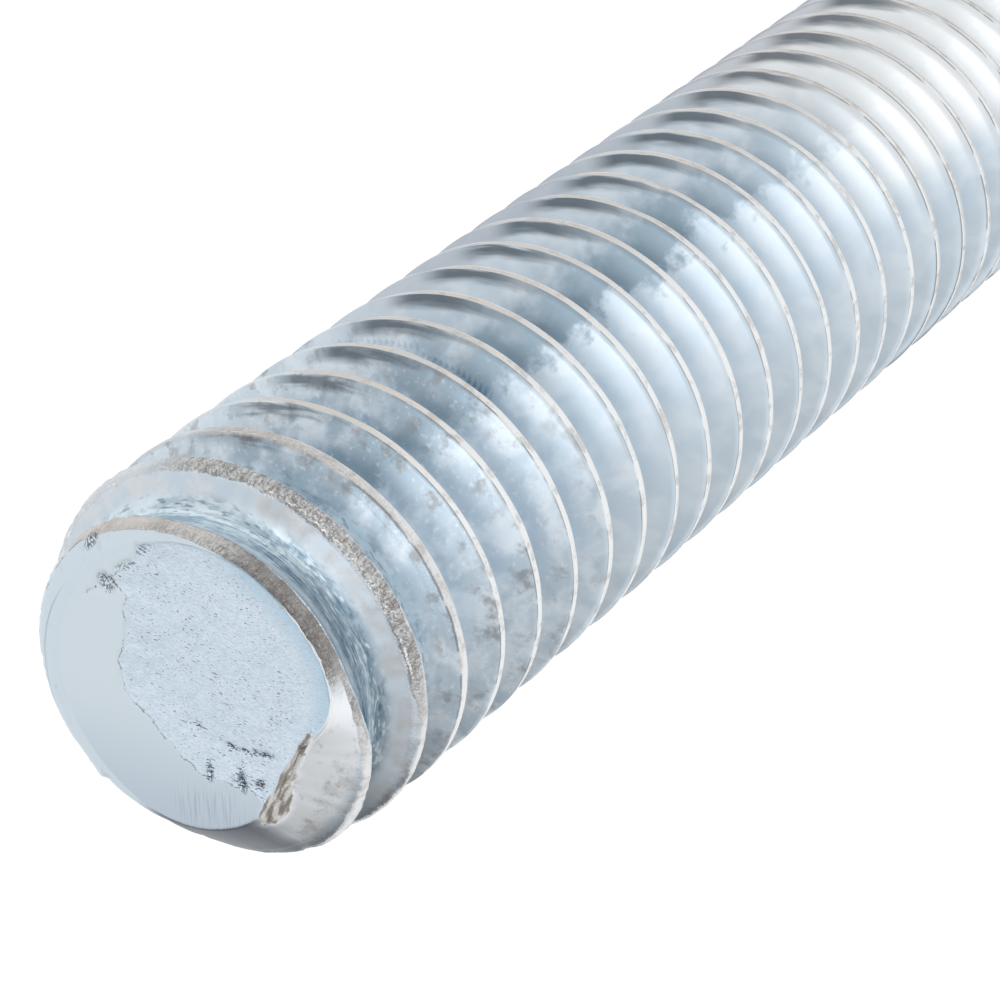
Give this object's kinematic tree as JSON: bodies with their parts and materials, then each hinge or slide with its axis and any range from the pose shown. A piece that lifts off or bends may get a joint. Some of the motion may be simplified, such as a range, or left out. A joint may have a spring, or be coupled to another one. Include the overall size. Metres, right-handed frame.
{
  "type": "threaded rod",
  "caption": "Short zinc-plated metric threaded rod with a plain chamfered foot and a sheared, burred upper end.",
  "frame": {"origin": "centre of the flat foot, on the rod's axis", "axes": "+Z along the rod from the chamfered foot to the sheared end; -Y is the side seen in the picture"},
  "size_m": [0.006, 0.006, 0.0301],
  "materials": {
    "zinc_plated_steel": "bright zinc plating over rolled steel, rough and brown where the crests are unfilled"
  },
  "bodies": {
    "root": {"threaded_rod": "zinc_plated_steel"}
  },
  "joints": []
}
